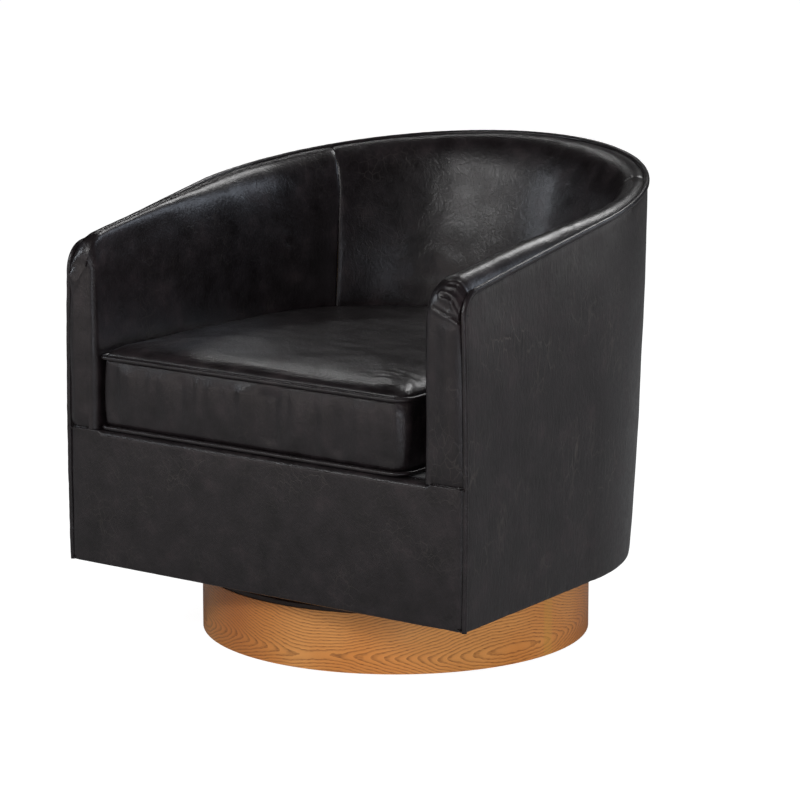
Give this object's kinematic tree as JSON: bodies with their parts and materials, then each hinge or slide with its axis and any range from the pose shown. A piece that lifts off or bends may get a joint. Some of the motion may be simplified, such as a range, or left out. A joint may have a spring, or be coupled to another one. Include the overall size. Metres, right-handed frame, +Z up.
{
  "type": "swivel chair",
  "caption": "Barrel-backed swivel lounge chair with a rolled arm and back, a loose boxed seat cushion and a round wooden plinth.",
  "frame": {"origin": "on the floor, under the middle of the plinth, on the swivel axis", "axes": "+Z up; the chair faces -Y at rest, so +X is across the seat towards the sitter's left arm"},
  "size_m": [0.744, 0.732, 0.72],
  "materials": {
    "felt": "matte",
    "plywood": "satin",
    "oak_veneer": "satin",
    "dark_wood": "satin",
    "softwood": "matte",
    "black_steel": "satin",
    "zinc_steel": "satin",
    "spring_steel": "satin",
    "nylon": "matte",
    "lining": "matte",
    "felt_pad": "matte",
    "foam": "matte",
    "leather": "satin",
    "zip_tape": "matte"
  },
  "bodies": {
    "base": {"floor_pad": "felt", "base_bottom_board": "plywood", "base_drum": "oak_veneer", "base_blocks": "softwood", "base_top_board": "dark_wood", "lower_swivel_plate": "black_steel", "lower_plate_screws": "zinc_steel"},
    "ball_cage": {"ball_cage": "nylon", "bearing_balls": "zinc_steel"},
    "chair_body": {"upper_swivel_plate": "black_steel", "swivel_rivet": "zinc_steel", "rivet_washer": "nylon", "upper_plate_bolts": "zinc_steel", "tee_nuts": "zinc_steel", "bottom_board": "plywood", "cross_rails": "softwood", "dust_cover": "lining", "outer_panel": "plywood", "wall_studs": "softwood", "arm_posts": "softwood", "top_rail": "softwood", "inner_panel": "plywood", "seat_ring": "plywood", "front_rail": "softwood", "front_board": "plywood", "arm_facings": "plywood", "seat_springs": "spring_steel", "spring_clips": "zinc_steel", "deck_pad": "felt_pad", "deck_cloth": "lining", "arm_foam_left": "foam", "arm_foam_right": "foam", "back_foam": "foam", "arm_cover_left": "leather", "arm_cover_right": "leather", "back_cover": "leather", "outer_cover": "leather", "outer_welt": "leather", "arm_front_pads": "foam", "arm_front_cover_left": "leather", "arm_front_cover_right": "leather", "front_pad": "foam", "front_cover": "leather"},
    "seat_cushion": {"cushion_foam": "foam", "cushion_top_panel": "leather", "cushion_bottom_panel": "leather", "cushion_boxing": "leather", "cushion_welt_top": "leather", "cushion_welt_bottom": "leather", "cushion_zip": "zip_tape"}
  },
  "joints": [
    {"name": "swivel", "type": "hinge", "parent": "base", "child": "chair_body", "pos_m": [0, 0, 0.10825], "axis": [0, 0, 1], "continuous": true},
    {"name": "cage_turn", "type": "hinge", "parent": "base", "child": "ball_cage", "pos_m": [0, 0, 0.10825], "axis": [0, 0, 1], "continuous": true},
    {"name": "cushion_lift", "type": "slide", "parent": "chair_body", "child": "seat_cushion", "axis": [0, 0, 1], "range_m": [0, 0.42]}
  ],
  "couplings": [
    {"joint": "cage_turn", "follows": "swivel", "ratio": 0.5}
  ]
}
